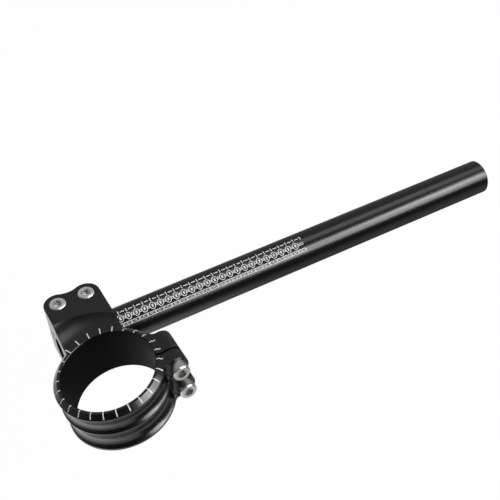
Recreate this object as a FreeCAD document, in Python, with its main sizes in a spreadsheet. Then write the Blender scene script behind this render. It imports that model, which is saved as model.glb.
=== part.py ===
import FreeCAD, Part
import math
import os
import Sketcher
from FreeCAD import Placement, Rotation, Vector

# A clip-on handlebar for a motorcycle: a split clamp that grips one fork tube, with a block on its
# back that grips a straight handlebar tube. Millimetres and degrees.
# The origin is the middle of the fork bore. Z runs up the fork, Y points from the fork to the bar,
# and the bar leaves along X, dropping by drop_angle.
SIZES = [
    # The ring that grips the fork tube
    ("fork_bore_dia", 53.0, "bore for the fork tube"),
    ("ring_height", 31.4, "height of the ring along the fork"),
    ("ring_dia", 62.0, "widest diameter of the ring"),
    ("rim_land_dia", 56.8, "outer diameter of the flat land on the top rim"),
    ("rim_drop", 2.6, "depth of the sloped rim, from the land to its outer edge"),
    ("rim_band", 0.5, "upright band under the sloped rim"),
    ("ridge_height", 0.5, "how far the ridge round the ring sits above mid-height"),
    ("ridge_width", 0.6, "upright band on the ridge"),
    ("lip_height", 2.4, "plain lip at the foot of the ring"),
    ("hollow_flare", 51.5, "angle at which the two round hollows run out at their lower edges"),
    ("plain_wall_angle", 75.0, "sweep of the plain wall from the lug to the neck"),
    ("foot_inset", 1.1, "bevel at the lower edge, inwards"),
    ("foot_rise", 1.1, "bevel at the lower edge, upwards"),
    ("bore_edge", 0.5, "break on both edges of the fork bore"),
    # The handlebar tube
    ("bar_dia", 22.2, "outside diameter of the tube"),
    ("bar_bore_dia", 15.0, "inside diameter of the tube"),
    ("bar_length", 300.0, "length of the tube"),
    ("bar_edge", 0.6, "break on the tube's outer edges"),
    ("bar_offset", 40.7, "from the fork axis to the bar axis"),
    ("bar_height", 1.6, "height of the bar axis over the fork axis"),
    ("drop_angle", 7.5, "how far the bar slopes down"),
    ("bar_clearance", 0.05, "gap about the tube in its bore"),
    # The block that grips the tube
    ("block_top", 18.5, "from the bar axis to the block's top face"),
    ("block_bottom", 14.0, "from the bar axis to the block's lower face"),
    ("block_slit", 1.6, "width of the pinch slit in the block"),
    ("block_screw_pitch", 17.4, "distance between the block's two screws"),
    ("block_screw_reach", 17.4, "from the bar axis to the screws' line"),
    ("block_edge", 0.4, "break on the block's top and bottom edges"),
    ("lobe_radius", 8.2, "round end of the block about each screw"),
    ("valley_radius", 12.5, "hollow between the two round ends"),
    ("cove_start_dia", 59.0, "where the rim starts to sweep up to the block"),
    ("cove_radius", 22.0, "sweep between the rim and the block's top"),
    ("neck_width", 29.6, "neck that joins the ring to the block"),
    ("neck_fillet", 8.0, "hollow between the neck and the ring"),
    ("neck_drop", 3.5, "from the rim's land down to the top of the neck"),
    ("collar_dia", 82.6, "round end of the neck under the block, about the fork"),
    ("collar_inset", 3.8, "bevel on the neck's lower edge, inwards"),
    ("collar_rise", 3.0, "bevel on the neck's lower edge, upwards"),
    # The lug that closes the ring
    ("lug_screw_gap", 2.5, "from the widest part of the ring out to the lug's screws"),
    ("lug_screw_pitch", 16.6, "distance between the lug's two screws"),
    ("lug_lobe_radius", 6.6, "round of the lug about each screw"),
    ("lug_valley_radius", 3.0, "hollow between the lug's two rounds"),
    ("lug_seat", 15.3, "from the fork axis to the face under the screw heads"),
    ("lug_back", 8.0, "from the fork axis to the lug's back face"),
    ("lug_back_fillet", 4.0, "hollow between the ring and the lug's back"),
    ("lug_front_fillet", 3.0, "hollow between the ring and the lug's front"),
    ("lug_corner", 1.5, "round at the back outer corner of the lug"),
    ("ring_slit", 1.6, "width of the slit that lets the ring close"),
    ("ring_slit_offset", 7.0, "from the fork axis to the slit's middle"),
    ("spot_face_dia", 14.0, "clearance cut for the screw heads"),
    ("spot_face_depth", 0.4, "depth of that cut in the lug's front"),
    # The socket screws, all of one thread size
    ("thread_dia", 6.0, "screw thread"),
    ("head_dia", 10.0, "screw head"),
    ("head_height", 6.0, "screw head"),
    ("head_edge", 0.6, "break on the rim of the head"),
    ("socket_width", 5.0, "hexagon socket across its flats"),
    ("socket_depth", 3.0, "hexagon socket"),
    ("block_screw_length", 25.0, "length under the head, block screws"),
    ("lug_screw_length", 20.0, "length under the head, lug screws"),
    ("thread_clearance", 0.05, "gap about the thread in its tapped hole"),
    ("screw_clearance", 0.3, "gap about the screw in its plain hole"),
    ("head_clearance", 0.4, "gap about the head in its counterbore"),
    ("head_proud", 0.4, "how far the head stands above the block's top face"),
]

doc = FreeCAD.newDocument("clip_on_handlebar")
sheet = doc.addObject("Spreadsheet::Sheet", "sizes")
for row, (alias, number, note) in enumerate(SIZES, start=1):
    sheet.set(f"A{row}", alias)
    sheet.set(f"B{row}", str(number))
    sheet.setAlias(f"B{row}", alias)
    sheet.set(f"C{row}", note)
doc.recompute()


class Size:
    """A length or angle that knows its number and the sheet formula that it comes from."""

    def __init__(self, number, formula):
        self.number = number
        self.formula = formula

    def __add__(self, other):
        other = as_size(other)
        return Size(self.number + other.number, f"({self.formula} + {other.formula})")

    def __sub__(self, other):
        other = as_size(other)
        return Size(self.number - other.number, f"({self.formula} - {other.formula})")

    def __mul__(self, other):
        other = as_size(other)
        return Size(self.number * other.number, f"({self.formula} * {other.formula})")

    def __truediv__(self, other):
        other = as_size(other)
        return Size(self.number / other.number, f"({self.formula} / {other.formula})")

    def __neg__(self):
        return Size(-self.number, f"(0 - {self.formula})")


def as_size(value):
    """A plain number as a Size."""
    if isinstance(value, Size):
        return value
    return Size(float(value), str(float(value)))


def from_sheet(alias):
    """The Size that a cell of the sheet holds."""
    return Size(float(sheet.get(alias)), f"sizes.{alias}")


def root(value):
    return Size(math.sqrt(value.number), f"sqrt({value.formula})")


def sine(angle):
    return Size(math.sin(math.radians(angle.number)), f"sin({angle.formula} * 1 deg)")


def cosine(angle):
    return Size(math.cos(math.radians(angle.number)), f"cos({angle.formula} * 1 deg)")


ZERO = as_size(0)
D = {alias: from_sheet(alias) for alias, number, note in SIZES}

# Sizes that follow from the driving ones
bore_radius = D["fork_bore_dia"] / 2
ring_radius = D["ring_dia"] / 2
rim_land_radius = D["rim_land_dia"] / 2
collar_radius = D["collar_dia"] / 2
half_height = D["ring_height"] / 2
half_neck = D["neck_width"] / 2
half_block = D["block_screw_pitch"] / 2 + D["lobe_radius"]
half_block_pitch = D["block_screw_pitch"] / 2
half_lug_pitch = D["lug_screw_pitch"] / 2
block_screw_line = D["bar_offset"] + D["block_screw_reach"]
block_end = block_screw_line + D["lobe_radius"]
counterbore_depth = D["head_height"] - D["head_proud"]
block_seat = D["block_top"] - counterbore_depth
lug_front = D["lug_seat"] + D["spot_face_depth"]
lug_screw_reach = ring_radius + D["lug_screw_gap"]
lug_outer = lug_screw_reach + D["lug_lobe_radius"]
lug_crown = half_lug_pitch + D["lug_lobe_radius"]
plain_hole_radius = D["thread_dia"] / 2 + D["screw_clearance"]
tapped_hole_radius = D["thread_dia"] / 2 + D["thread_clearance"]
bar_seat_radius = D["bar_dia"] / 2 + D["bar_clearance"]
counterbore_radius = D["head_dia"] / 2 + D["head_clearance"]


def bind(thing, path, size):
    """Tie one property of an object to the sheet."""
    thing.setExpression(path, size.formula)


def origin_plane(body, role):
    for feature in body.Origin.OriginFeatures:
        if feature.Role == role:
            return feature
    raise ValueError(f"no plane {role}")


def new_sketch(body, name, role, shift=(ZERO, ZERO, ZERO), tilt_axis=None):
    """A sketch on an origin plane of the body, shifted, and tilted with the bar where an axis is given."""
    sketch = body.newObject("Sketcher::SketchObject", name)
    sketch.AttachmentSupport = [(origin_plane(body, role), "")]
    sketch.MapMode = "FlatFace"
    turn = Rotation()
    if tilt_axis is not None:
        turn = Rotation(tilt_axis, D["drop_angle"].number)
    sketch.AttachmentOffset = Placement(Vector(*[size.number for size in shift]), turn)
    for letter, size in zip("xyz", shift):
        if size is not ZERO:
            bind(sketch, f"AttachmentOffset.Base.{letter}", size)
    if tilt_axis is not None:
        bind(sketch, "AttachmentOffset.Rotation.Angle", D["drop_angle"])
    return sketch


def pin_point(sketch, geometry, end, x, y):
    """Hold one point of a sketch at sheet-driven coordinates from the sketch's origin."""
    for kind, axis, size in (("DistanceX", -2, x), ("DistanceY", -1, y)):
        if abs(size.number) < 1e-9:
            sketch.addConstraint(Sketcher.Constraint("PointOnObject", geometry, end, axis))
        else:
            index = sketch.addConstraint(Sketcher.Constraint(kind, -1, 1, geometry, end, size.number))
            sketch.setExpression(f"Constraints[{index}]", size.formula)


def outline(sketch, corners):
    """A closed outline. A corner (x, y) goes straight on to the next one. A corner (x, y, centre x,
    centre y, radius, turn) goes on by an arc, where a turn of 1 is counter-clockwise."""
    first = sketch.GeometryCount
    ends = []
    for here, after in zip(corners, corners[1:] + corners[:1]):
        start = Vector(here[0].number, here[1].number, 0)
        finish = Vector(after[0].number, after[1].number, 0)
        if len(here) == 2:
            index = sketch.addGeometry(Part.LineSegment(start, finish))
            ends.append((index, 1, 2))
            continue
        centre = Vector(here[2].number, here[3].number, 0)
        radius, turn = here[4], here[5]
        low, high = (start, finish) if turn > 0 else (finish, start)
        circle = Part.Circle(centre, Vector(0, 0, 1), radius.number)
        low_angle = math.atan2(low.y - centre.y, low.x - centre.x)
        high_angle = math.atan2(high.y - centre.y, high.x - centre.x)
        if high_angle < low_angle:
            high_angle += 2 * math.pi
        index = sketch.addGeometry(Part.ArcOfCircle(circle, low_angle, high_angle))
        ends.append((index, 1, 2) if turn > 0 else (index, 2, 1))
    for place, (index, start_end, finish_end) in enumerate(ends):
        next_index, next_start, next_finish = ends[(place + 1) % len(ends)]
        sketch.addConstraint(Sketcher.Constraint("Coincident", index, finish_end, next_index, next_start))
    for corner, (index, start_end, finish_end) in zip(corners, ends):
        pin_point(sketch, index, start_end, corner[0], corner[1])
        if len(corner) > 2:
            number = sketch.addConstraint(Sketcher.Constraint("Radius", index, corner[4].number))
            sketch.setExpression(f"Constraints[{number}]", corner[4].formula)


def rectangle(sketch, left, bottom, right, top):
    outline(sketch, [(left, bottom), (right, bottom), (right, top), (left, top)])


def circle(sketch, x, y, radius):
    index = sketch.addGeometry(Part.Circle(Vector(x.number, y.number, 0), Vector(0, 0, 1), radius.number))
    pin_point(sketch, index, 3, x, y)
    number = sketch.addConstraint(Sketcher.Constraint("Radius", index, radius.number))
    sketch.setExpression(f"Constraints[{number}]", radius.formula)


def add_feature(body, kind, name, sketch):
    feature = body.newObject(f"PartDesign::{kind}", name)
    feature.Profile = sketch
    sketch.Visibility = False
    return feature


def revolve(body, kind, name, sketch, axis):
    """Turn a profile through a full circle, adding (Revolution) or cutting (Groove)."""
    feature = add_feature(body, kind, name, sketch)
    feature.ReferenceAxis = (sketch, [axis])
    feature.Angle = 360.0
    doc.recompute()
    return feature


def pad(body, name, sketch, up, down):
    """Raise a sketch on both sides of its plane."""
    feature = add_feature(body, "Pad", name, sketch)
    feature.SideType = "Two sides"
    feature.Length = up.number
    feature.Length2 = down.number
    bind(feature, "Length", up)
    bind(feature, "Length2", down)
    doc.recompute()
    return feature


def pocket(body, name, sketch, depth=None, both_sides=False, forward=False):
    """Cut behind a sketch's plane, or in front of it, to a depth or right through."""
    before = body.Shape.Volume
    feature = add_feature(body, "Pocket", name, sketch)
    feature.Reversed = forward
    if both_sides:
        feature.SideType = "Symmetric"
    if depth is None:
        feature.Type = "ThroughAll"
    else:
        feature.Type = "Length"
        feature.Length = depth.number
        bind(feature, "Length", depth)
    doc.recompute()
    if body.Shape.Volume >= before - 1e-6:
        raise ValueError(f"{name} cuts nothing")
    return feature


TILT_AXIS = Vector(0, 1, 0)  # what the bar and its block turn about to slope down
TILT_AXIS_ON_YZ = Vector(1, 0, 0)  # the same axis in a sketch across the bar


def build_block():
    """The block that holds the bar: straight sides, and two round ends with a hollow between them."""
    body = doc.addObject("PartDesign::Body", "bar_block")
    valley_reach = D["lobe_radius"] + D["valley_radius"]
    valley_line = block_screw_line + root(valley_reach * valley_reach - half_block_pitch * half_block_pitch)
    share = D["lobe_radius"] / valley_reach
    meet_x = half_block_pitch - half_block_pitch * share
    meet_y = block_screw_line + (valley_line - block_screw_line) * share
    plan = new_sketch(body, "block_outline", "XY_Plane")
    outline(plan, [
        (-half_block, ZERO),
        (half_block, ZERO),
        (half_block, block_screw_line, half_block_pitch, block_screw_line, D["lobe_radius"], 1),
        (meet_x, meet_y, ZERO, valley_line, D["valley_radius"], -1),
        (-meet_x, meet_y, -half_block_pitch, block_screw_line, D["lobe_radius"], 1),
        (-half_block, block_screw_line),
    ])
    block = pad(body, "block", plan, D["block_top"], D["block_bottom"])
    level_edges = []
    for number, edge in enumerate(block.Shape.Edges, start=1):
        if edge.BoundBox.ZLength < 1e-6:
            level_edges.append(f"Edge{number}")
    broken = body.newObject("PartDesign::Chamfer", "block_edges")
    broken.Base = (block, level_edges)
    broken.Size = D["block_edge"].number
    bind(broken, "Size", D["block_edge"])
    slope = Rotation(TILT_AXIS, D["drop_angle"].number)
    body.Placement = Placement(Vector(0, 0, D["bar_height"].number), slope)
    bind(body, "Placement.Base.z", D["bar_height"])
    bind(body, "Placement.Rotation.Angle", D["drop_angle"])
    doc.recompute()
    return body


def hollow_up_wall(low, high):
    """Two corners of the ring's profile. A round, half as large as the hollow is high, starts at its flare
    on the lower edge. It ends where a straight slope, which it is tangent to, goes on to the upper edge."""
    radius = (high - low) / 2
    centre_x = ring_radius + radius * cosine(D["hollow_flare"])
    centre_z = low + radius * sine(D["hollow_flare"])
    across = ring_radius - centre_x
    up = high - centre_z
    reach = across * across + up * up
    slope = root(reach - radius * radius)
    tangent_x = centre_x + (radius * across - slope * up) * radius / reach
    tangent_z = centre_z + (radius * up + slope * across) * radius / reach
    return [(ring_radius, low, centre_x, centre_z, radius, -1), (tangent_x, tangent_z)]


def build_clamp():
    """The one-piece machined clamp: ring, block for the bar and lug for the pinch screws."""
    block = build_block()
    body = doc.addObject("PartDesign::Body", "clamp_body")

    # The neck under the block is turned about the fork, then trimmed to its width with hollows at the ring.
    neck = new_sketch(body, "neck_profile", "XZ_Plane")
    outline(neck, [
        (ZERO, -half_height),
        (collar_radius - D["collar_inset"], -half_height),
        (collar_radius, D["collar_rise"] - half_height),
        (collar_radius, half_height - D["neck_drop"]),
        (ZERO, half_height - D["neck_drop"]),
    ])
    revolve(body, "Revolution", "neck", neck, "V_Axis")
    far = D["collar_dia"]
    neck_reach = ring_radius + D["neck_fillet"]
    neck_middle_x = half_neck + D["neck_fillet"]
    neck_middle_y = root(neck_reach * neck_reach - neck_middle_x * neck_middle_x)
    neck_share = ring_radius / neck_reach
    touch_x = neck_middle_x * neck_share
    touch_y = neck_middle_y * neck_share
    beside_neck = new_sketch(body, "beside_neck", "XY_Plane")
    outline(beside_neck, [
        (-far, -far),
        (far, -far),
        (far, far),
        (half_neck, far),
        (half_neck, neck_middle_y, neck_middle_x, neck_middle_y, D["neck_fillet"], 1),
        (touch_x, touch_y),
        (ZERO, ZERO),
        (-touch_x, touch_y, -neck_middle_x, neck_middle_y, D["neck_fillet"], 1),
        (-half_neck, neck_middle_y),
        (-half_neck, far),
        (-far, far),
    ])
    pocket(body, "neck_trim", beside_neck, both_sides=True)

    # The ring: a sloped rim with a flat land, a wall of two round hollows with a ridge between them,
    # and a lip with a bevelled foot.
    rim_edge = half_height - D["rim_drop"]
    half_ridge = D["ridge_width"] / 2
    ring = new_sketch(body, "ring_profile", "XZ_Plane")
    outline(ring, [
        (ZERO, -half_height),
        (ring_radius - D["foot_inset"], -half_height),
        (ring_radius, D["foot_rise"] - half_height),
        *hollow_up_wall(D["lip_height"] - half_height, D["ridge_height"] - half_ridge),
        (ring_radius, D["ridge_height"] - half_ridge),
        *hollow_up_wall(D["ridge_height"] + half_ridge, rim_edge - D["rim_band"]),
        (ring_radius, rim_edge - D["rim_band"]),
        (ring_radius, rim_edge),
        (rim_land_radius, half_height),
        (ZERO, half_height),
    ])
    revolve(body, "Revolution", "ring", ring, "V_Axis")

    # Between the lug and the neck the wall is plain.
    plain = new_sketch(body, "plain_wall_profile", "XZ_Plane")
    outline(plain, [
        (ZERO, -half_height),
        (ring_radius - D["foot_inset"], -half_height),
        (ring_radius, D["foot_rise"] - half_height),
        (ring_radius, rim_edge),
        (rim_land_radius, half_height),
        (ZERO, half_height),
    ])
    plain_wall = revolve(body, "Revolution", "plain_wall", plain, "V_Axis")
    plain_wall.Angle = D["plain_wall_angle"].number
    bind(plain_wall, "Angle", D["plain_wall_angle"])
    doc.recompute()

    # The block joins the ring at the bar's slope.
    joined = body.newObject("PartDesign::Boolean", "block_joined")
    joined.Type = "Fuse"
    joined.setObjects([block])
    doc.recompute()

    # The lug: its plan blends into the ring with hollows, and its side is cut to two rounds.
    back_reach = ring_radius + D["lug_back_fillet"]
    back_middle_y = D["lug_back"] + D["lug_back_fillet"]
    back_middle_x = root(back_reach * back_reach - back_middle_y * back_middle_y)
    back_share = ring_radius / back_reach
    front_reach = ring_radius + D["lug_front_fillet"]
    front_middle_y = -(lug_front + D["lug_front_fillet"])
    front_middle_x = root(front_reach * front_reach - front_middle_y * front_middle_y)
    front_share = ring_radius / front_reach
    lug = new_sketch(body, "lug_plan", "XY_Plane")
    outline(lug, [
        (ZERO, ZERO),
        (front_middle_x * front_share, front_middle_y * front_share,
         front_middle_x, front_middle_y, D["lug_front_fillet"], -1),
        (front_middle_x, -lug_front),
        (lug_outer, -lug_front),
        (lug_outer, D["lug_back"] - D["lug_corner"],
         lug_outer - D["lug_corner"], D["lug_back"] - D["lug_corner"], D["lug_corner"], 1),
        (lug_outer - D["lug_corner"], D["lug_back"]),
        (back_middle_x, D["lug_back"], back_middle_x, back_middle_y, D["lug_back_fillet"], -1),
        (back_middle_x * back_share, back_middle_y * back_share),
    ])
    pad(body, "lug", lug, lug_crown, lug_crown)
    lug_reach = D["lug_lobe_radius"] + D["lug_valley_radius"]
    lug_valley_x = lug_screw_reach + root(lug_reach * lug_reach - half_lug_pitch * half_lug_pitch)
    lug_share = D["lug_lobe_radius"] / lug_reach
    lug_meet_x = lug_screw_reach + (lug_valley_x - lug_screw_reach) * lug_share
    lug_meet_z = half_lug_pitch - half_lug_pitch * lug_share
    beyond = lug_outer + D["lug_lobe_radius"]
    lug_side = new_sketch(body, "beside_lug", "XZ_Plane")
    outline(lug_side, [
        (lug_screw_reach, lug_crown, lug_screw_reach, half_lug_pitch, D["lug_lobe_radius"], -1),
        (lug_meet_x, lug_meet_z, lug_valley_x, ZERO, D["lug_valley_radius"], 1),
        (lug_meet_x, -lug_meet_z, lug_screw_reach, -half_lug_pitch, D["lug_lobe_radius"], -1),
        (lug_screw_reach, -lug_crown),
        (lug_screw_reach, -(lug_crown + D["lug_lobe_radius"])),
        (beyond, -(lug_crown + D["lug_lobe_radius"])),
        (beyond, lug_crown + D["lug_lobe_radius"]),
        (lug_screw_reach, lug_crown + D["lug_lobe_radius"]),
    ])
    pocket(body, "lug_rounds", lug_side, both_sides=True)

    # The rim sweeps up to the block's top face, and the fork bore goes through everything.
    cove_start = D["cove_start_dia"] / 2
    cove_end = cove_start + D["cove_radius"]
    cove = new_sketch(body, "cove_profile", "XZ_Plane")
    outline(cove, [
        (ZERO, half_height),
        (cove_start, half_height, cove_start, half_height + D["cove_radius"], D["cove_radius"], 1),
        (cove_end, half_height + D["cove_radius"]),
        (ZERO, half_height + D["cove_radius"]),
    ])
    revolve(body, "Groove", "cove", cove, "V_Axis")
    over = D["bore_edge"] + half_height
    bore = new_sketch(body, "fork_bore_profile", "XZ_Plane")
    outline(bore, [
        (ZERO, -over),
        (bore_radius + D["bore_edge"] * 2, -over),
        (bore_radius, D["bore_edge"] - half_height),
        (bore_radius, half_height - D["bore_edge"]),
        (bore_radius + D["bore_edge"] * 2, over),
        (ZERO, over),
    ])
    revolve(body, "Groove", "fork_bore", bore, "V_Axis")

    # The bar's seat through the block, and the slit that lets the block pinch it.
    across_bar = (ZERO, D["bar_height"], ZERO)
    seat = new_sketch(body, "bar_seat_outline", "YZ_Plane", across_bar, TILT_AXIS_ON_YZ)
    circle(seat, D["bar_offset"], ZERO, bar_seat_radius)
    pocket(body, "bar_seat", seat, both_sides=True)
    slit = new_sketch(body, "block_slit_outline", "YZ_Plane", across_bar, TILT_AXIS_ON_YZ)
    half_slit = D["block_slit"] / 2
    rectangle(slit, D["bar_offset"], -half_slit, block_end + D["lobe_radius"], half_slit)
    pocket(body, "block_slit", slit, both_sides=True)

    # Two screws pinch the block: counterbores on top, plain holes down to the slit, tapped below it.
    block_face = (D["block_top"] * sine(D["drop_angle"]), ZERO,
                  D["bar_height"] + D["block_top"] * cosine(D["drop_angle"]))
    for name, radius, depth in (
        ("block_tapped", tapped_hole_radius, None),
        ("block_plain", plain_hole_radius, D["block_top"]),
        ("block_counterbore", counterbore_radius, counterbore_depth),
    ):
        holes = new_sketch(body, f"{name}_circles", "XY_Plane", block_face, TILT_AXIS)
        circle(holes, half_block_pitch, block_screw_line, radius)
        circle(holes, -half_block_pitch, block_screw_line, radius)
        pocket(body, name, holes, depth)

    # The slit through the lug lets the ring close, and two screws across it draw it shut.
    half_ring_slit = D["ring_slit"] / 2
    ring_slit = new_sketch(body, "ring_slit_outline", "XY_Plane")
    rectangle(ring_slit, ZERO, -(D["ring_slit_offset"] + half_ring_slit),
              beyond, half_ring_slit - D["ring_slit_offset"])
    pocket(body, "ring_slit", ring_slit, both_sides=True)
    lug_face = (ZERO, ZERO, D["lug_seat"])
    for name, radius, depth, forward in (
        ("spot_face", D["spot_face_dia"] / 2, None, True),
        ("lug_tapped", tapped_hole_radius, None, False),
        ("lug_plain", plain_hole_radius, D["lug_seat"] - D["ring_slit_offset"], False),
    ):
        holes = new_sketch(body, f"{name}_circles", "XZ_Plane", lug_face)
        circle(holes, lug_screw_reach, half_lug_pitch, radius)
        circle(holes, lug_screw_reach, -half_lug_pitch, radius)
        pocket(body, name, holes, depth, forward=forward)
    return body


def build_bar():
    """The straight handlebar tube, its inner end flush with the side of the block."""
    body = doc.addObject("PartDesign::Body", "bar_tube")
    wall = new_sketch(body, "bar_section", "XZ_Plane")
    near = -half_block
    far = D["bar_length"] - half_block
    outer = D["bar_dia"] / 2
    inner = D["bar_bore_dia"] / 2
    outline(wall, [
        (near, inner),
        (far, inner),
        (far, outer - D["bar_edge"]),
        (far - D["bar_edge"], outer),
        (near + D["bar_edge"], outer),
        (near, outer - D["bar_edge"]),
    ])
    revolve(body, "Revolution", "bar", wall, "H_Axis")
    body.Placement = Placement(Vector(0, D["bar_offset"].number, D["bar_height"].number),
                               Rotation(TILT_AXIS, D["drop_angle"].number))
    bind(body, "Placement.Base.y", D["bar_offset"])
    bind(body, "Placement.Base.z", D["bar_height"])
    bind(body, "Placement.Rotation.Angle", D["drop_angle"])
    return body


def build_screw(name, length):
    """A socket cap screw along Z, with the face under its head at the origin."""
    body = doc.addObject("PartDesign::Body", name)
    head_radius = D["head_dia"] / 2
    thread_radius = D["thread_dia"] / 2
    profile = new_sketch(body, f"{name}_profile", "XZ_Plane")
    outline(profile, [
        (ZERO, -length),
        (thread_radius, -length),
        (thread_radius, ZERO),
        (head_radius, ZERO),
        (head_radius, D["head_height"] - D["head_edge"]),
        (head_radius - D["head_edge"], D["head_height"]),
        (ZERO, D["head_height"]),
    ])
    revolve(body, "Revolution", f"{name}_turned", profile, "V_Axis")
    hexagon = new_sketch(body, f"{name}_hexagon", "XY_Plane", (ZERO, ZERO, D["head_height"]))
    half_width = D["socket_width"] / 2
    corner = D["socket_width"] / root(as_size(3))
    half_side = corner / 2
    outline(hexagon, [
        (corner, ZERO),
        (half_side, half_width),
        (-half_side, half_width),
        (-corner, ZERO),
        (-half_side, -half_width),
        (half_side, -half_width),
    ])
    pocket(body, f"{name}_socket", hexagon, D["socket_depth"])
    return body


def place(body, position, turn, tilted):
    """Put a screw at sheet-driven coordinates, turning with the bar where it is tilted."""
    body.Placement = Placement(Vector(*[size.number for size in position]), turn)
    for letter, size in zip("xyz", position):
        bind(body, f"Placement.Base.{letter}", size)
    if tilted:
        bind(body, "Placement.Rotation.Angle", D["drop_angle"])


def build_screws():
    """Two pairs of like screws, each pair one group of two solids."""
    slope = D["drop_angle"]
    groups = []
    block_pair = []
    for side, along in (("left", -half_block_pitch), ("right", half_block_pitch)):
        screw = build_screw(f"block_screw_{side}", D["block_screw_length"])
        position = (along * cosine(slope) + block_seat * sine(slope), block_screw_line,
                    D["bar_height"] + block_seat * cosine(slope) - along * sine(slope))
        place(screw, position, Rotation(TILT_AXIS, slope.number), True)
        block_pair.append(screw)
    lug_pair = []
    for side, up in (("upper", half_lug_pitch), ("lower", -half_lug_pitch)):
        screw = build_screw(f"lug_screw_{side}", D["lug_screw_length"])
        position = (lug_screw_reach, -D["lug_seat"], up)
        place(screw, position, Rotation(Vector(1, 0, 0), 90), False)
        lug_pair.append(screw)
    for name, pair in (("bar_pinch_screws", block_pair), ("fork_pinch_screws", lug_pair)):
        group = doc.addObject("Part::Compound", name)
        group.Links = pair
        groups.append(group)
    return groups


pieces = [build_clamp(), build_bar()] + build_screws()
doc.recompute()

for thing in doc.Objects:
    if "Invalid" in thing.State or "Error" in thing.State:
        raise RuntimeError(f"{thing.Name} failed: {thing.State}")
os.makedirs("parts", exist_ok=True)
for piece in pieces:
    if piece.Shape.isNull() or not piece.Shape.isValid():
        raise RuntimeError(f"{piece.Label} has no valid shape")
for piece in pieces:
    piece.Shape.exportStep(f"parts/{piece.Label}.step")
    print(piece.Label, len(piece.Shape.Solids), "solids,", round(piece.Shape.Volume), "mm3")
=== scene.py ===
import math

import bmesh
import bpy
from mathutils import Matrix, Vector
from mathutils.bvhtree import BVHTree


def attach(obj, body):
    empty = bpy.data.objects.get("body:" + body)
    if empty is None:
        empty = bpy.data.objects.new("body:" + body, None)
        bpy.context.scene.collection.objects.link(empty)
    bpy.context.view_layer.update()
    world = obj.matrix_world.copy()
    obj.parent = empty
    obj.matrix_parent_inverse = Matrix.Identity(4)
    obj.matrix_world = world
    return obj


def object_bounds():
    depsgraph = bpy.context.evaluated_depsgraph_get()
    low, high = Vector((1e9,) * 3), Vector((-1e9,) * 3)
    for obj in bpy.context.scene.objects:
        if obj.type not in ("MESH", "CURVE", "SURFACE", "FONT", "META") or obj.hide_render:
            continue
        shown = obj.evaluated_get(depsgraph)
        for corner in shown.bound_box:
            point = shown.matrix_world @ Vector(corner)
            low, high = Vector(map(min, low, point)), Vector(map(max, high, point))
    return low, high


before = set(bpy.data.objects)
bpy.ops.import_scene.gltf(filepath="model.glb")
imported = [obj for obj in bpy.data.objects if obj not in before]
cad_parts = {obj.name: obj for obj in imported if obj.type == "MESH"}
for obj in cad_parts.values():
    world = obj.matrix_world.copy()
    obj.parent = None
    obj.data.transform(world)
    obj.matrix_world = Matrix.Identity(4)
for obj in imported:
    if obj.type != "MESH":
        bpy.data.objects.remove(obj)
cad_low, cad_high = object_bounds()

MM = 0.001

# The fork ring, whose rim is a flat land that folds into a slope. Angles are in degrees from +X.
BORE_MARGIN_RADIUS = 26.7 * MM
RIM_FOLD_RADIUS = 28.4 * MM
FOLD_GAP = 0.01 * MM
TICK_COUNT = 26
TICK_WIDTH = 0.66 * MM
TICK_STEPS = (4, 2)
TICK_START_RADIUS = 27.0 * MM
TICK_END_RADIUS = 30.5 * MM
LONG_TICK_END_RADIUS = 31.3 * MM
LONG_TICK_ANGLES = (70, 125)
FIRST_TICK_ANGLE = 7.0
CLEAR_ABOVE = 10 * MM

# The handlebar tube, and the way from its own axes, with X along it, to the part's
BAR_RADIUS = 11.1 * MM
BAR_AXIS_POINT = Vector((0, 40.7 * MM, 1.6 * MM))
BAR_DROP = math.radians(7.5)
BAR_TO_PART = Matrix.Translation(BAR_AXIS_POINT) @ Matrix.Rotation(BAR_DROP, 4, "Y")

# The scale on the tube: a ladder rail in front, a row of round index marks, and a row of dashes behind.
# Heights round the tube are angles, where 90 degrees is the top and 180 degrees the front.
FIRST_INDEX = 19.9 * MM
SCALE_PITCH = 5.08 * MM
SCALE_CELLS = 24
SCALE_START = 18.7 * MM
SCALE_END = 142.0 * MM
LINE_WIDTH = 0.42 * MM
THIN_LINE = 0.3 * MM
PRINT_GAP = 0.04 * MM
RUNG_WIDTH = 0.6 * MM
FRONT_RAIL = (131.6, 142.2)
RAIL_DASH_START = 0.42 * SCALE_PITCH
RAIL_DASH_LENGTH = 1.5 * MM
INDEX_ANGLE = 115.6
INDEX_RADII = (1.85 * MM, 2.3 * MM)
INDEX_SEGMENTS = 24
HEART_HALF_SIZE = (0.5 * MM, 0.95 * MM)
TIE_HALF_HEIGHT = 0.8 * MM
BACK_ROW = (87.0, 100.5)
BACK_DASH_SPAN = (1.5 * MM, 4.2 * MM)
BACK_DASH_INSET = 0.95 * MM
END_DASH_LENGTH = 2.4 * MM

# How far printed marks stand over the surface, and how far they reach into it
INK_PROUD = 0.02 * MM
INK_DEEP = 0.03 * MM

# The screws. The height of their turned rings is a share of the knurl's.
BLOCK_SCREW_HALF_PITCH = 8.7 * MM
BLOCK_SCREW_LINE = 58.1 * MM
LUG_SCREW_HALF_PITCH = 8.3 * MM
LUG_SCREW_REACH = 33.5 * MM
SCREW_EDGE_RADIUS = 0.25 * MM
SOCKET_RADIUS = 2.92 * MM
TURNED_RING_PITCH = 0.2 * MM
TURNED_RING_HEIGHT = 0.25
KNURL_COUNT = 40.0
KNURL_RADIUS = 4.9 * MM
MACHINING_DEPTH = 0.05 * MM
MACHINING_STRENGTH = 0.5

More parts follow.
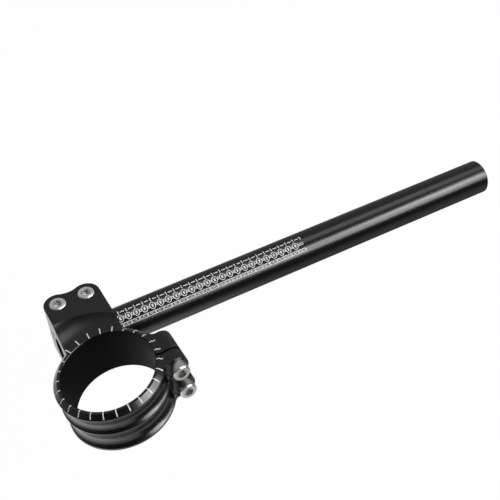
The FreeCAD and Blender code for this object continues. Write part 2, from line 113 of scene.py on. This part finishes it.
# Finishes. A pair of tones runs from the hollows of the grain to its heights.
GRAIN_DETAIL = 3.0
DRIFT_DETAIL = 2.0
EDGE_SAMPLES = 6
BLACK_GRAIN = {"Grain Scale": 2600.0, "Drift Scale": 45.0, "Variation": 0.05}
BLACK_GRAIN_DEPTH = 0.004 * MM
BLACK_GRAIN_STRENGTH = 0.3
BLACK_TONES = ((0.0022, 0.0024, 0.0027, 1), (0.0055, 0.0056, 0.0060, 1))
# Painted shade: a near-black for the inside of the fork bore, where shade falls
BORE_PAINTED_SHADE = (0.0028, 0.0030, 0.0034, 1)
BORE_DULLNESS = 0.4
CLAMP_ROUGHNESS = 0.25
CLAMP_REFRACTION = 1.6
CLAMP_STRETCH = (1, 1, 1)
CLAMP_EDGE_RADIUS = 0.22 * MM
BAR_ROUGHNESS = 0.23
BAR_REFRACTION = 1.5
BAR_STRETCH = (14, 1, 1)
BAR_EDGE_RADIUS = 0.2 * MM
STEEL_GRAIN = {"Grain Scale": 1800.0, "Drift Scale": 300.0, "Variation": 0.12}
STEEL_WARMTH = (0.985, 0.96)
# The third of each set of greys is painted shade in the hex sockets
BLOCK_STEEL_ROUGHNESS = 0.46
BLOCK_STEEL_GREYS = (0.8, 0.94, 0.68)
# The lug screws are the same steel as the block screws, and their lower greys are painted shade
LUG_STEEL_ROUGHNESS = 0.3
LUG_STEEL_SHADED_GREYS = (0.66, 0.82, 0.5)
WHITE_GRAIN = {"Grain Scale": 5000.0, "Drift Scale": 400.0, "Roughness": 0.55, "Variation": 0.15}
WHITE_TONES = ((0.64, 0.64, 0.63, 1), (0.88, 0.88, 0.87, 1))

# The floor. The glow is the share of it that shines by itself to the camera and in reflections, and the
# rest is lit by the lamps.
FLOOR_HEIGHT = -110 * MM
FLOOR_HALF_SIZE = 6.0
FLOOR_WHITE = (0.9, 0.9, 0.9, 1)
FLOOR_ROUGHNESS = 0.9
FLOOR_GLOW = 0.98

# Brightness of the room from its front to its back, and of what the floor shows in reflections, in stops
# of a place and a brightness. A place in the room is the Y of a direction. On the floor it is in metres.
ROOM_FRONT_TO_BACK = ((-0.6, 0.023), (0.0, 0.19), (0.5, 0.3), (1.0, 0.3))
POOL_FRONT_TO_BACK = ((-0.2, 0.06), (-0.14, 0.3), (-0.075, 0.85), (-0.035, 1.0), (0.0, 1.0), (0.036, 0.36),
                      (0.08, 0.3), (0.25, 0.7), (0.4, 0.8))
POOL_LEFT_TO_RIGHT = ((-0.1, 1.0), (0.04, 0.98), (0.16, 0.34), (0.4, 0.34))
LEFT_GLOW = ((-0.1, 1.0), (-0.035, 1.0), (0.03, 0.0))

# The lamps, in metres. The front and top ones have a place along the tube, an angle round it and a
# distance from it. The side one has an azimuth, an elevation and a distance from the fork ring.
BAR_LAMP_AIM = 0.15
FRONT_LAMP_PLACE = (1.52, 145.5, 3.0)
FRONT_LAMP_SIZE = (1.5, 1.95)
FRONT_LAMP_BRIGHTNESS = 7.15
TOP_LAMP_PLACE = (0.75, 85, 2.0)
TOP_LAMP_SIZE = (1.7, 0.95)
TOP_LAMP_BRIGHTNESS = 1.73
SIDE_LAMP_PLACE = (-30, 28, 2.5)
SIDE_LAMP_ALONG = Vector((0.5, 0.86, 0))
SIDE_LAMP_SIZE = (1.45, 0.7)
SIDE_LAMP_BRIGHTNESS = 6.6
LEFT_CARD_PLACE = Vector((-0.24, 0.06, FLOOR_HEIGHT + 5 * MM))
LEFT_CARD_SIZE = (0.32, 0.45)
LEFT_CARD_BRIGHTNESS = 0.8

# The camera, in metres, degrees and millimetres of lens and sensor
CAMERA_PLACE = (-0.02001, -0.33215, 0.39209)
CAMERA_TURN = (44.64, 9.97, -29.07)
CAMERA_LENS = 65.957
CAMERA_SENSOR = 36.0
CAMERA_NEAREST = 0.01


# Shader helpers

def new_material(name):
    """A material with only its output and a Principled shader, returned with its node tree and shader."""
    material = bpy.data.materials.new(name)
    material.use_nodes = True
    tree = material.node_tree
    shader = tree.nodes["Principled BSDF"]
    return material, tree, shader


def feed(tree, value, socket):
    """Give an input socket a plain number, or link another socket to it."""
    if isinstance(value, (int, float)):
        socket.default_value = value
    else:
        tree.links.new(value, socket)


def math_node(tree, operation, first, second=None):
    """A Math node whose inputs are sockets or plain numbers. Returns its output socket."""
    node = tree.nodes.new("ShaderNodeMath")
    node.operation = operation
    feed(tree, first, node.inputs[0])
    if second is not None:
        feed(tree, second, node.inputs[1])
    return node.outputs["Value"]


def separate(tree, vector):
    """The X, Y and Z sockets of a vector."""
    parts = tree.nodes.new("ShaderNodeSeparateXYZ")
    tree.links.new(vector, parts.inputs["Vector"])
    return parts.outputs


def distance_from_axis(tree, parts):
    """The distance from the Z axis of a separated vector."""
    across = math_node(tree, "MULTIPLY", parts["X"], parts["X"])
    along = math_node(tree, "MULTIPLY", parts["Y"], parts["Y"])
    return math_node(tree, "SQRT", math_node(tree, "ADD", across, along))


def object_coordinates(tree, location=(0, 0, 0), rotation=(0, 0, 0), scale=(1, 1, 1)):
    """Object coordinates through a Mapping node, which centres, turns or stretches a pattern."""
    coordinates = tree.nodes.new("ShaderNodeTexCoord")
    mapping = tree.nodes.new("ShaderNodeMapping")
    mapping.vector_type = "TEXTURE"
    mapping.inputs["Location"].default_value = location
    mapping.inputs["Rotation"].default_value = rotation
    mapping.inputs["Scale"].default_value = scale
    tree.links.new(coordinates.outputs["Object"], mapping.inputs["Vector"])
    return mapping.outputs["Vector"]


def new_group(name, numbers, outputs):
    """An empty shader node group that takes a vector and some numbers, given with their defaults.
    Returned with its input and output nodes."""
    group = bpy.data.node_groups.new(name, "ShaderNodeTree")
    sockets = group.interface
    sockets.new_socket("Vector", in_out="INPUT", socket_type="NodeSocketVector")
    for label, default in numbers.items():
        socket = sockets.new_socket(label, in_out="INPUT", socket_type="NodeSocketFloat")
        socket.default_value = default
    for label in outputs:
        sockets.new_socket(label, in_out="OUTPUT", socket_type="NodeSocketFloat")
    start = group.nodes.new("NodeGroupInput")
    end = group.nodes.new("NodeGroupOutput")
    return group, start, end


def add_group(tree, group, inputs):
    """Place a shader node group, with its inputs set to numbers or linked to sockets."""
    node = tree.nodes.new("ShaderNodeGroup")
    node.node_tree = group
    for label, value in inputs.items():
        feed(tree, value, node.inputs[label])
    return node


def make_surface_grain():
    """Node group: fine grain and a slow drift, as a height for bump and as a roughness."""
    numbers = {"Grain Scale": 3000.0, "Drift Scale": 60.0, "Roughness": 0.25, "Variation": 0.05}
    group, start, end = new_group("surface_grain", numbers, ("Height", "Roughness"))
    grain = group.nodes.new("ShaderNodeTexNoise")
    grain.inputs["Detail"].default_value = GRAIN_DETAIL
    drift = group.nodes.new("ShaderNodeTexNoise")
    drift.inputs["Detail"].default_value = DRIFT_DETAIL
    for texture, scale in ((grain, "Grain Scale"), (drift, "Drift Scale")):
        group.links.new(start.outputs["Vector"], texture.inputs["Vector"])
        group.links.new(start.outputs[scale], texture.inputs["Scale"])
    group.links.new(grain.outputs["Fac"], end.inputs["Height"])
    # Each noise swings about a half, so the two together swing about 1
    both = math_node(group, "ADD", grain.outputs["Fac"], drift.outputs["Fac"])
    centred = math_node(group, "SUBTRACT", both, 1.0)
    swing = math_node(group, "MULTIPLY", centred, start.outputs["Variation"])
    rough = math_node(group, "ADD", swing, start.outputs["Roughness"])
    group.links.new(rough, end.inputs["Roughness"])
    return group


def make_screw_machining():
    """Node group: turned rings on a screw's faces, a straight knurl on the side of its head, and a mask
    of its socket. The vector's Z runs along the screw, and its X and Y are measured from its axis."""
    numbers = {"Ring Pitch": TURNED_RING_PITCH, "Knurl Count": KNURL_COUNT, "Knurl Radius": KNURL_RADIUS,
               "Socket Radius": SOCKET_RADIUS}
    group, start, end = new_group("screw_machining", numbers, ("Height", "Socket"))
    parts = separate(group, start.outputs["Vector"])
    radius = distance_from_axis(group, parts)
    turns = math_node(group, "DIVIDE", radius, start.outputs["Ring Pitch"])
    waves = math_node(group, "SINE", math_node(group, "MULTIPLY", turns, math.tau))
    rings = math_node(group, "MULTIPLY", waves, TURNED_RING_HEIGHT)
    angle = math_node(group, "ARCTAN2", parts["Y"], parts["X"])
    ridges = math_node(group, "SINE", math_node(group, "MULTIPLY", angle, start.outputs["Knurl Count"]))
    on_side = math_node(group, "GREATER_THAN", radius, start.outputs["Knurl Radius"])
    knurl = math_node(group, "MULTIPLY", ridges, on_side)
    group.links.new(math_node(group, "ADD", rings, knurl), end.inputs["Height"])
    in_socket = math_node(group, "LESS_THAN", radius, start.outputs["Socket Radius"])
    group.links.new(in_socket, end.inputs["Socket"])
    return group


surface_grain = make_surface_grain()
screw_machining = make_screw_machining()


# Finishes

def tone_from_grain(tree, grain, tones):
    """A colour that runs from one tone in the grain's hollows to another on its heights."""
    ramp = tree.nodes.new("ShaderNodeValToRGB")
    ramp.color_ramp.elements[0].color = tones[0]
    ramp.color_ramp.elements[1].color = tones[1]
    tree.links.new(grain.outputs["Height"], ramp.inputs["Fac"])
    return ramp.outputs["Color"]


def colour_where(tree, mask, inside, outside):
    """A plain colour where a mask is 1, and the colour of a socket where it is 0."""
    mix = tree.nodes.new("ShaderNodeMix")
    mix.data_type = "RGBA"
    mix.inputs["B"].default_value = inside
    tree.links.new(mask, mix.inputs["Factor"])
    tree.links.new(outside, mix.inputs["A"])
    return mix.outputs["Result"]


def link_bump(tree, shader, height, depth, strength, edge_radius):
    """Bump from a height, over edges that are softened by a small radius."""
    edge = tree.nodes.new("ShaderNodeBevel")
    edge.samples = EDGE_SAMPLES
    edge.inputs["Radius"].default_value = edge_radius
    bump = tree.nodes.new("ShaderNodeBump")
    bump.inputs["Distance"].default_value = depth
    bump.inputs["Strength"].default_value = strength
    tree.links.new(height, bump.inputs["Height"])
    tree.links.new(edge.outputs["Normal"], bump.inputs["Normal"])
    tree.links.new(bump.outputs["Normal"], shader.inputs["Normal"])


def black_anodised(name, roughness, refraction, stretch, edge_radius):
    """Black anodised aluminium: a nearly black, glossy oxide over fine machining grain, which can be
    stretched along the tube. Inside the fork bore it is duller, and its near-black is painted shade."""
    material, tree, shader = new_material(name)
    vector = object_coordinates(tree, rotation=(0, BAR_DROP, 0), scale=stretch)
    grain = add_group(tree, surface_grain, {"Vector": vector, "Roughness": roughness, **BLACK_GRAIN})
    tone = tone_from_grain(tree, grain, BLACK_TONES)
    # Painted shade in the fork bore: a near-black metal colour that hardly reflects anything
    radius = distance_from_axis(tree, separate(tree, object_coordinates(tree)))
    in_bore = math_node(tree, "LESS_THAN", radius, BORE_MARGIN_RADIUS)
    tree.links.new(colour_where(tree, in_bore, BORE_PAINTED_SHADE, tone), shader.inputs["Base Color"])
    tree.links.new(in_bore, shader.inputs["Metallic"])
    duller = math_node(tree, "MULTIPLY", in_bore, BORE_DULLNESS)
    tree.links.new(math_node(tree, "ADD", grain.outputs["Roughness"], duller), shader.inputs["Roughness"])
    shader.inputs["IOR"].default_value = refraction
    link_bump(tree, shader, grain.outputs["Height"], BLACK_GRAIN_DEPTH, BLACK_GRAIN_STRENGTH, edge_radius)
    return material


def warm_grey(grey):
    """A grey that leans a little to yellow."""
    return (grey, grey * STEEL_WARMTH[0], grey * STEEL_WARMTH[1], 1)


def bright_steel(name, location, rotation, mirrored, roughness, greys):
    """Bright stainless steel with turned faces and knurled heads. The two like screws lie either side
    of a plane across the mirrored axis, so the absolute value there folds one on to the other. The greys
    are those of the grain's hollows, of its heights and of the painted shade in the sockets."""
    material, tree, shader = new_material(name)
    vector = object_coordinates(tree, location=location, rotation=rotation)
    parts = separate(tree, vector)
    axis, half_pitch = mirrored
    folded = math_node(tree, "SUBTRACT", math_node(tree, "ABSOLUTE", parts[axis]), half_pitch)
    screw = tree.nodes.new("ShaderNodeCombineXYZ")
    for letter in "XYZ":
        tree.links.new(folded if letter == axis else parts[letter], screw.inputs[letter])
    machining = add_group(tree, screw_machining, {"Vector": screw.outputs["Vector"]})
    grain = add_group(tree, surface_grain, {"Vector": vector, "Roughness": roughness, **STEEL_GRAIN})
    hollow_tone, height_tone, socket_shade_tone = (warm_grey(grey) for grey in greys)
    tone = tone_from_grain(tree, grain, (hollow_tone, height_tone))
    # Painted shade: the hex sockets take a darker grey, for the shade inside them
    shade = colour_where(tree, machining.outputs["Socket"], socket_shade_tone, tone)
    tree.links.new(shade, shader.inputs["Base Color"])
    tree.links.new(grain.outputs["Roughness"], shader.inputs["Roughness"])
    shader.inputs["Metallic"].default_value = 1.0
    link_bump(tree, shader, machining.outputs["Height"], MACHINING_DEPTH, MACHINING_STRENGTH,
              SCREW_EDGE_RADIUS)
    return material


def printed_white(name):
    """White print over the black: matt, with a slightly uneven tone."""
    material, tree, shader = new_material(name)
    vector = object_coordinates(tree)
    grain = add_group(tree, surface_grain, {"Vector": vector, **WHITE_GRAIN})
    tree.links.new(tone_from_grain(tree, grain, WHITE_TONES), shader.inputs["Base Color"])
    tree.links.new(grain.outputs["Roughness"], shader.inputs["Roughness"])
    return material


def paint(node, material):
    """Give a node of the model its finish."""
    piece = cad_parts[node]
    piece.data.materials.clear()
    piece.data.materials.append(material)


# Printed marks

def finish_marks(bm, name, material):
    """Turn thin marks into a piece of the object."""
    mesh = bpy.data.meshes.new(name)
    bm.to_mesh(mesh)
    bm.free()
    mesh.materials.append(material)
    piece = bpy.data.objects.new(name, mesh)
    bpy.context.scene.collection.objects.link(piece)
    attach(piece, "root")


def each_once(items):
    """The items in their order, without repeats."""
    return list(dict.fromkeys(items))


def flat_bar(bm, low, high, steps=(1, 1)):
    """A flat rectangle from corner to corner, cut into steps along each side. Returns its vertices."""
    made = bmesh.ops.create_grid(bm, x_segments=steps[0], y_segments=steps[1], size=0.5)["verts"]
    middle = Vector(((low[0] + high[0]) / 2, (low[1] + high[1]) / 2, 0))
    bmesh.ops.scale(bm, vec=(high[0] - low[0], high[1] - low[1], 1), verts=made)
    bmesh.ops.translate(bm, vec=middle, verts=made)
    return made


def flat_oval(bm, centre, radii, width):
    """A flat oval ring about a centre."""
    rims = []
    for inset in (0, width):
        rim = bmesh.ops.create_circle(bm, cap_ends=False, radius=1, segments=INDEX_SEGMENTS)["verts"]
        bmesh.ops.scale(bm, vec=(radii[0] - inset, radii[1] - inset, 1), verts=rim)
        bmesh.ops.translate(bm, vec=(centre[0], centre[1], 0), verts=rim)
        rims += each_once(edge for vert in rim for edge in vert.link_edges)
    bmesh.ops.bridge_loops(bm, edges=rims)


def flat_frame(bm, low, high, width):
    """A flat rectangular outline from corner to corner: a grid whose inner faces are taken out."""
    columns = (low[0], low[0] + width, high[0] - width, high[0])
    rows = (low[1], low[1] + width, (low[1] + high[1]) / 2, high[1] - width, high[1])
    steps = (len(columns) - 1, len(rows) - 1)
    made = flat_bar(bm, low, high, steps)
    for vert in made:
        column = round(steps[0] * (vert.co.x - low[0]) / (high[0] - low[0]))
        row = round(steps[1] * (vert.co.y - low[1]) / (high[1] - low[1]))
        vert.co.x = columns[column]
        vert.co.y = rows[row]
    inner = []
    for face in each_once(face for vert in made for face in vert.link_faces):
        middle = face.calc_center_median()
        if columns[1] < middle.x < columns[-2] and rows[1] < middle.y < rows[-2]:
            inner.append(face)
    bmesh.ops.delete(bm, geom=inner, context="FACES")


def make_rim_ticks(material):
    """Short radial ticks round the top of the fork ring, dropped from above the part on whatever surface
    lies under them. Each one is in two stretches that meet where the rim folds."""
    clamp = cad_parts["clamp_body"]
    surface = BVHTree.FromObject(clamp, bpy.context.evaluated_depsgraph_get())
    bm = bmesh.new()
    above = cad_high[2] + CLEAR_ABOVE
    down = Vector((0, 0, -1))
    for number in range(TICK_COUNT):
        degrees = FIRST_TICK_ANGLE + number * 360 / TICK_COUNT
        turn = Matrix.Rotation(math.radians(degrees), 3, "Z")
        is_long = LONG_TICK_ANGLES[0] < degrees < LONG_TICK_ANGLES[1]
        end = LONG_TICK_END_RADIUS if is_long else TICK_END_RADIUS
        on_land = (TICK_START_RADIUS, RIM_FOLD_RADIUS - FOLD_GAP)
        on_slope = (RIM_FOLD_RADIUS + FOLD_GAP, end)
        for low, high in (on_land, on_slope):
            made = flat_bar(bm, (low, -TICK_WIDTH / 2), (high, TICK_WIDTH / 2), TICK_STEPS)
            bmesh.ops.rotate(bm, cent=(0, 0, 0), matrix=turn, verts=made)
            for vert in made:
                start = Vector((vert.co.x, vert.co.y, above))
                point, normal = surface.ray_cast(start, down)[:2]
                vert.co = point + normal * INK_PROUD
    # The sheets face one way before they get their thickness, and the shells face outwards after it
    bmesh.ops.recalc_face_normals(bm, faces=bm.faces)
    bmesh.ops.solidify(bm, geom=bm.faces, thickness=INK_PROUD + INK_DEEP)
    bmesh.ops.recalc_face_normals(bm, faces=bm.faces)
    finish_marks(bm, "rim_ticks", material)


def round_bar(degrees):
    """The distance round the tube at an angle."""
    return math.radians(degrees) * BAR_RADIUS


def draw_front_rail(bm, indices):
    """Two long lines with a pair of rungs at each index and a dash between one index and the next."""
    low, high = (round_bar(angle) for angle in FRONT_RAIL)
    for line in (low, high - THIN_LINE):
        flat_bar(bm, (SCALE_START, line), (SCALE_END, line + THIN_LINE))
    inside_low = low + THIN_LINE + PRINT_GAP
    inside_high = high - THIN_LINE - PRINT_GAP
    middle = (inside_low + inside_high) / 2
    for index in indices:
        for place in (index, index + 2 * THIN_LINE):
            flat_bar(bm, (place, inside_low), (place + THIN_LINE, inside_high), steps=(1, 2))
        dash_low = (index + RAIL_DASH_START, middle - THIN_LINE / 2)
        dash_high = (index + RAIL_DASH_START + RAIL_DASH_LENGTH, middle + THIN_LINE / 2)
        flat_bar(bm, dash_low, dash_high)


def draw_index_row(bm, indices):
    """An oval with a solid heart at each index, and a box that ties it to the next."""
    middle = round_bar(INDEX_ANGLE)
    for index in indices:
        flat_oval(bm, (index, middle), INDEX_RADII, LINE_WIDTH)
        heart_low = (index - HEART_HALF_SIZE[0], middle - HEART_HALF_SIZE[1])
        heart_high = (index + HEART_HALF_SIZE[0], middle + HEART_HALF_SIZE[1])
        flat_bar(bm, heart_low, heart_high, steps=(1, 2))
        tie_low = (index + INDEX_RADII[0] + PRINT_GAP, middle - TIE_HALF_HEIGHT)
        tie_high = (index + SCALE_PITCH - INDEX_RADII[0] - PRINT_GAP, middle + TIE_HALF_HEIGHT)
        flat_frame(bm, tie_low, tie_high, THIN_LINE)


def draw_back_row(bm, indices):
    """A rung at each index and a thick dash between one index and the next."""
    low, high = (round_bar(angle) for angle in BACK_ROW)
    for index in indices:
        flat_bar(bm, (index, low), (index + RUNG_WIDTH, high), steps=(1, 4))
        dash_low = (index + BACK_DASH_SPAN[0], low + BACK_DASH_INSET)
        dash_high = (index + BACK_DASH_SPAN[1], high - BACK_DASH_INSET)
        flat_bar(bm, dash_low, dash_high, steps=(1, 2))


def draw_ends(bm, next_index):
    """A rung that closes the rail and one that closes the back row, and two dashes after the index row."""
    for place, row in ((SCALE_END + PRINT_GAP, FRONT_RAIL), (next_index, BACK_ROW)):
        low, high = (round_bar(angle) for angle in row)
        flat_bar(bm, (place, low), (place + RUNG_WIDTH, high), steps=(1, 4))
    middle = round_bar(INDEX_ANGLE)
    dash_start = next_index - INDEX_RADII[0] + PRINT_GAP
    for line in (middle - TIE_HALF_HEIGHT, middle + TIE_HALF_HEIGHT - LINE_WIDTH):
        flat_bar(bm, (dash_start, line), (dash_start + END_DASH_LENGTH, line + LINE_WIDTH))


def wrap_on_bar(bm):
    """Roll a flat pattern on to the tube: X runs along it and Y is the distance round it. The roll mirrors
    the pattern, so its faces are turned back to point outwards."""
    for vert in bm.verts:
        angle = vert.co.y / BAR_RADIUS
        reach = BAR_RADIUS + vert.co.z
        vert.co = BAR_TO_PART @ Vector((vert.co.x, reach * math.cos(angle), reach * math.sin(angle)))
    bmesh.ops.reverse_faces(bm, faces=bm.faces)


def make_bar_scale(material):
    """The graduated scale that shows how far the controls sit along the tube."""
    bm = bmesh.new()
    indices = [FIRST_INDEX + number * SCALE_PITCH for number in range(SCALE_CELLS)]
    draw_front_rail(bm, indices)
    draw_index_row(bm, indices)
    draw_back_row(bm, indices)
    draw_ends(bm, indices[-1] + SCALE_PITCH)
    bmesh.ops.translate(bm, vec=(0, 0, -INK_DEEP), verts=bm.verts)
    made = bmesh.ops.extrude_face_region(bm, geom=bm.faces)["geom"]
    raised = [item for item in made if isinstance(item, bmesh.types.BMVert)]
    bmesh.ops.translate(bm, vec=(0, 0, INK_DEEP + INK_PROUD), verts=raised)
    bmesh.ops.recalc_face_normals(bm, faces=bm.faces)
    wrap_on_bar(bm)
    finish_marks(bm, "bar_scale", material)


# Studio

def add_lamp(name, place, target, along, size, brightness):
    """A rectangular lamp of an even brightness, facing a point, with its width along a direction."""
    light = bpy.data.lights.new(name, "AREA")
    light.shape = "RECTANGLE"
    light.size, light.size_y = size
    light.energy = brightness * math.pi * size[0] * size[1]
    back = (place - target).normalized()
    up = back.cross(along).normalized()
    right = up.cross(back)
    lamp = bpy.data.objects.new(name, light)
    lamp.matrix_world = Matrix.Translation(place) @ Matrix((right, up, back)).transposed().to_4x4()
    bpy.context.scene.collection.objects.link(lamp)


def beside_bar(along, degrees, distance):
    """A point at a distance from the tube's axis, at an angle round it."""
    angle = math.radians(degrees)
    return BAR_TO_PART @ Vector((along, distance * math.cos(angle), distance * math.sin(angle)))


def from_ring(azimuth, elevation, distance):
    """A point in a direction from the middle of the fork ring."""
    turn = math.radians(azimuth)
    lift = math.radians(elevation)
    flat = distance * math.cos(lift)
    return Vector((flat * math.cos(turn), flat * math.sin(turn), distance * math.sin(lift)))


def brightness_along(tree, place, stops):
    """A brightness that changes smoothly, from stop to stop, with a place along one axis."""
    first, last = stops[0][0], stops[-1][0]
    share = tree.nodes.new("ShaderNodeMapRange")
    share.inputs["From Min"].default_value = first
    share.inputs["From Max"].default_value = last
    tree.links.new(place, share.inputs["Value"])
    ramp = tree.nodes.new("ShaderNodeValToRGB")
    ramp.color_ramp.interpolation = "EASE"
    elements = ramp.color_ramp.elements
    for stop in stops[1:-1]:
        elements.new((stop[0] - first) / (last - first))
    for element, stop in zip(elements, stops):
        element.color = (stop[1], stop[1], stop[1], 1)
    tree.links.new(share.outputs["Result"], ramp.inputs["Fac"])
    return ramp.outputs["Color"]


def white_floor():
    """Matt white that keeps a soft shadow of the object, and is plain white to the camera. What the object
    reflects of it is a pool of light under the fork ring and in front of the bar, which opens out to the
    left."""
    material, tree, shader = new_material("white_floor")
    shader.inputs["Base Color"].default_value = FLOOR_WHITE
    shader.inputs["Roughness"].default_value = FLOOR_ROUGHNESS
    shader.inputs["Specular IOR Level"].default_value = 0.0
    rays = tree.nodes.new("ShaderNodeLightPath").outputs
    parts = separate(tree, object_coordinates(tree))
    from_front = brightness_along(tree, parts["Y"], POOL_FRONT_TO_BACK)
    from_left = brightness_along(tree, parts["X"], POOL_LEFT_TO_RIGHT)
    pool = math_node(tree, "MULTIPLY", from_front, from_left)
    reflected = math_node(tree, "MAXIMUM", pool, brightness_along(tree, parts["X"], LEFT_GLOW))
    strength = math_node(tree, "MAXIMUM", rays["Is Camera Ray"], reflected)
    glow = tree.nodes.new("ShaderNodeEmission")
    tree.links.new(strength, glow.inputs["Strength"])
    seen = math_node(tree, "MAXIMUM", rays["Is Camera Ray"], rays["Is Glossy Ray"])
    seen = math_node(tree, "MAXIMUM", seen, rays["Is Transmission Ray"])
    mix = tree.nodes.new("ShaderNodeMixShader")
    tree.links.new(math_node(tree, "MULTIPLY", seen, FLOOR_GLOW), mix.inputs["Fac"])
    tree.links.new(shader.outputs["BSDF"], mix.inputs[1])
    tree.links.new(glow.outputs["Emission"], mix.inputs[2])
    tree.links.new(mix.outputs["Shader"], tree.nodes["Material Output"].inputs["Surface"])
    return material


def add_floor():
    """A wide white floor under the object."""
    bm = bmesh.new()
    bmesh.ops.create_grid(bm, x_segments=1, y_segments=1, size=FLOOR_HALF_SIZE)
    bmesh.ops.translate(bm, vec=(0, 0, FLOOR_HEIGHT), verts=bm.verts)
    mesh = bpy.data.meshes.new("floor")
    bm.to_mesh(mesh)
    bm.free()
    mesh.materials.append(white_floor())
    floor = bpy.data.objects.new("floor", mesh)
    bpy.context.scene.collection.objects.link(floor)


def add_surroundings():
    """Soft light from the back of the studio, and a dark room in front. To the camera it is white."""
    world = bpy.data.worlds.new("studio")
    world.use_nodes = True
    tree = world.node_tree
    direction = tree.nodes.new("ShaderNodeTexCoord").outputs["Generated"]
    level = brightness_along(tree, separate(tree, direction)["Y"], ROOM_FRONT_TO_BACK)
    rays = tree.nodes.new("ShaderNodeLightPath").outputs
    strength = math_node(tree, "MAXIMUM", rays["Is Camera Ray"], level)
    tree.nodes["Background"].inputs["Color"].default_value = (1, 1, 1, 1)
    tree.links.new(strength, tree.nodes["Background"].inputs["Strength"])
    bpy.context.scene.world = world


def add_lamps():
    """Three softboxes, and a card of light at the left that lies just over the floor and faces up."""
    bar_middle = beside_bar(BAR_LAMP_AIM, 0, 0)
    along_bar = BAR_TO_PART.to_3x3() @ Vector((1, 0, 0))
    add_lamp("front_softbox", beside_bar(*FRONT_LAMP_PLACE), bar_middle, along_bar,
             FRONT_LAMP_SIZE, FRONT_LAMP_BRIGHTNESS)
    add_lamp("top_softbox", beside_bar(*TOP_LAMP_PLACE), bar_middle, along_bar,
             TOP_LAMP_SIZE, TOP_LAMP_BRIGHTNESS)
    ring_middle = Vector((0, 0, 0))
    add_lamp("side_softbox", from_ring(*SIDE_LAMP_PLACE), ring_middle, SIDE_LAMP_ALONG,
             SIDE_LAMP_SIZE, SIDE_LAMP_BRIGHTNESS)
    over_card = LEFT_CARD_PLACE + Vector((0, 0, 1))
    add_lamp("left_card", LEFT_CARD_PLACE, over_card, Vector((1, 0, 0)),
             LEFT_CARD_SIZE, LEFT_CARD_BRIGHTNESS)


def add_camera():
    """The camera, in front of the fork ring and above it."""
    data = bpy.data.cameras.new("camera")
    data.lens = CAMERA_LENS
    data.sensor_width = CAMERA_SENSOR
    data.clip_start = CAMERA_NEAREST
    camera = bpy.data.objects.new("camera", data)
    camera.location = CAMERA_PLACE
    camera.rotation_euler = [math.radians(angle) for angle in CAMERA_TURN]
    bpy.context.scene.collection.objects.link(camera)
    bpy.context.scene.camera = camera


# The object and its studio

clamp_black = black_anodised("clamp_black", CLAMP_ROUGHNESS, CLAMP_REFRACTION, CLAMP_STRETCH,
                             CLAMP_EDGE_RADIUS)
bar_black = black_anodised("bar_black", BAR_ROUGHNESS, BAR_REFRACTION, BAR_STRETCH, BAR_EDGE_RADIUS)
block_steel = bright_steel("block_screw_steel", (0, BLOCK_SCREW_LINE, BAR_AXIS_POINT.z), (0, BAR_DROP, 0),
                           ("X", BLOCK_SCREW_HALF_PITCH), BLOCK_STEEL_ROUGHNESS, BLOCK_STEEL_GREYS)
lug_steel = bright_steel("lug_screw_steel", (LUG_SCREW_REACH, 0, 0), (math.radians(90), 0, 0),
                         ("Y", LUG_SCREW_HALF_PITCH), LUG_STEEL_ROUGHNESS, LUG_STEEL_SHADED_GREYS)
mark_white = printed_white("mark_white")

paint("clamp_body", clamp_black)
paint("bar_tube", bar_black)
paint("bar_pinch_screws", block_steel)
paint("fork_pinch_screws", lug_steel)
make_rim_ticks(mark_white)
make_bar_scale(mark_white)
add_floor()
add_surroundings()
add_lamps()
add_camera()
bpy.context.scene.view_settings.view_transform = "Standard"
